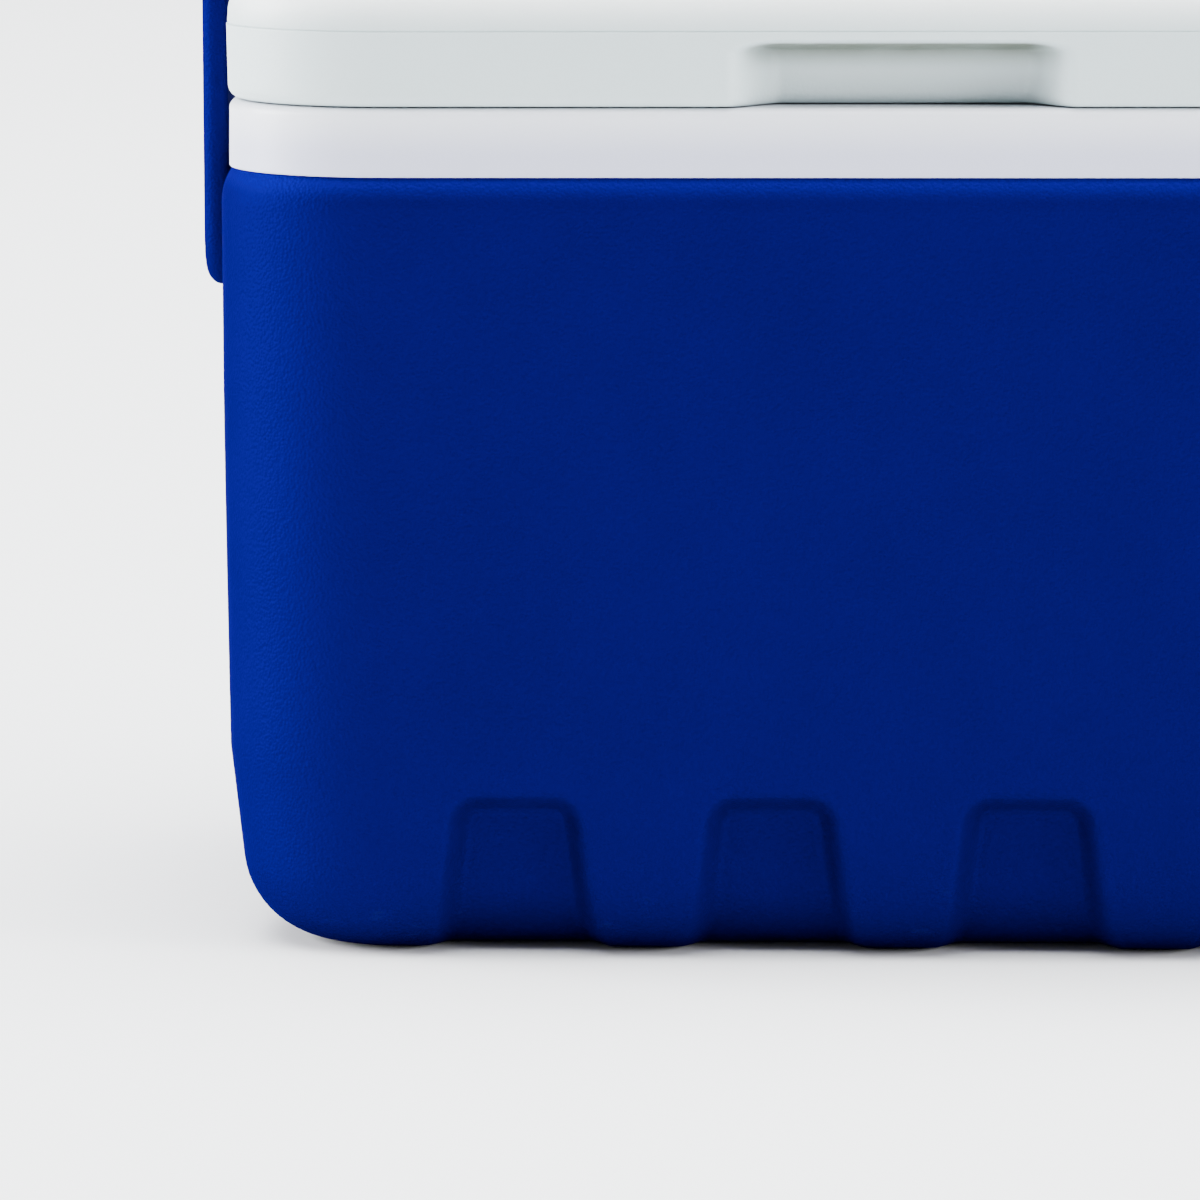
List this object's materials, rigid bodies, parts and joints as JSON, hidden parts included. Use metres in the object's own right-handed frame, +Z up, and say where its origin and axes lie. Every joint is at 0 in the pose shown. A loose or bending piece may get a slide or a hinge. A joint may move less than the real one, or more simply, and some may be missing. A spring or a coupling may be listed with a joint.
{
  "type": "cooler chest",
  "caption": "Insulated chest with a rounded tapered body, notched base, contrasting collar, hinged lid with a finger recess, and a swinging bail handle.",
  "frame": {"origin": "middle of the flat underside of the body, on the floor that the chest stands on", "axes": "+X to the right across the front, -Y towards the front with the finger recess, +Z up"},
  "size_m": [0.4678, 0.307, 0.43],
  "materials": {
    "blue_shell": "satin",
    "lid_white": "satin",
    "collar_white": "satin",
    "rigid_foam": "matte",
    "pin_steel": "satin",
    "acetal": "satin"
  },
  "bodies": {
    "chest": {"outer_shell": "blue_shell", "foam_core": "rigid_foam", "liner": "collar_white", "foam_fill_plug": "blue_shell", "foam_vent_plugs": "blue_shell", "pivot_bush_left": "acetal", "pivot_bush_right": "acetal", "pivot_pin_left": "pin_steel", "pivot_pin_right": "pin_steel", "friction_washer_left": "acetal", "friction_washer_right": "acetal", "hinge_body_leaf_left": "collar_white", "hinge_body_leaf_right": "collar_white", "hinge_pin_left": "pin_steel", "hinge_pin_right": "pin_steel", "hinge_body_screws": "pin_steel"},
    "lid": {"lid_cover": "lid_white", "lid_foam": "rigid_foam", "lid_pan": "lid_white", "lid_fill_plug": "lid_white", "hinge_lid_leaf_left": "lid_white", "hinge_lid_leaf_right": "lid_white", "hinge_lid_screws": "pin_steel"},
    "handle": {"handle_bail": "blue_shell"}
  },
  "joints": [
    {"name": "lid_hinge", "type": "hinge", "parent": "chest", "child": "lid", "pos_m": [0, 0.1524, 0.274], "axis": [-1, 0, 0], "range_deg": [0, 28]},
    {"name": "handle_swing", "type": "hinge", "parent": "chest", "child": "handle", "pos_m": [0, 0, 0.22], "axis": [1, 0, 0], "range_deg": [-125, 125]}
  ]
}
